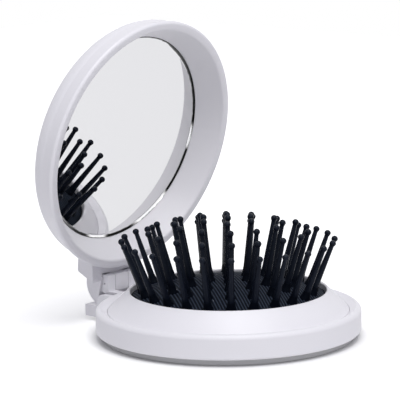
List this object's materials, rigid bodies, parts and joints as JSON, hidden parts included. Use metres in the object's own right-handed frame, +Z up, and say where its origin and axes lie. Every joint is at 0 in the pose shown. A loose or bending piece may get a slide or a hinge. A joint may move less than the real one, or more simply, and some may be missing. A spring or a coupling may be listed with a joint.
{
  "type": "folding hairbrush with mirror",
  "caption": "Round folding pocket hairbrush: a hinged lid with a mirror inside opens over a cushion of ball-tipped bristles that a push cup in the underside raises and lowers.",
  "frame": {"origin": "centre of the flat underside that the brush stands on", "axes": "+Z up, out of the cushion; hinge pin along X at the back, +Y; front of the brush at -Y"},
  "size_m": [0.068, 0.0788, 0.0798],
  "materials": {
    "white_shell": "satin gloss, moulded",
    "foot_plastic": "matt, moulded",
    "plate_plastic": "matt, moulded",
    "cushion_rubber": "fine ribs, matt",
    "bristle_nylon": "smooth nylon",
    "pin_steel": "drawn wire",
    "mirror": "silvered glass, ground edge",
    "foam": "double-sided foam"
  },
  "bodies": {
    "base": {"base_shell": "white_shell", "collar_ring": "white_shell", "bottom_cover": "foot_plastic", "cushion_pad": "cushion_rubber"},
    "cup": {"push_cup": "white_shell", "support_plate": "plate_plastic", "bristle_group_1": "bristle_nylon", "bristle_group_2": "bristle_nylon", "bristle_group_3": "bristle_nylon", "bristle_group_4": "bristle_nylon", "bristle_group_5": "bristle_nylon", "bristle_group_6": "bristle_nylon", "bristle_group_7": "bristle_nylon", "bristle_group_8": "bristle_nylon", "bristle_group_9": "bristle_nylon", "bristle_group_10": "bristle_nylon"},
    "pin": {"hinge_pin": "pin_steel"},
    "lid": {"lid_shell": "white_shell", "mirror_frame": "white_shell", "mirror_glass": "mirror", "adhesive_pad": "foam"}
  },
  "joints": [
    {"name": "push_slide", "type": "slide", "parent": "base", "child": "cup", "axis": [0, 0, 1], "range_m": [-0.006, 0], "deforming": ["cushion_pad"]},
    {"name": "lid_open", "type": "hinge", "parent": "base", "child": "pin", "pos_m": [0, 0.0382, 0.00964], "axis": [-1, 0, 0], "range_deg": [0, 53]},
    {"name": "lid_close", "type": "hinge", "parent": "pin", "child": "lid", "pos_m": [0, 0.0382, 0.00964], "axis": [-1, 0, 0], "range_deg": [-77, 0], "deforming": ["bristle_group_1", "bristle_group_2", "bristle_group_3", "bristle_group_4", "bristle_group_5", "bristle_group_6", "bristle_group_7", "bristle_group_8", "bristle_group_9", "bristle_group_10"]}
  ]
}
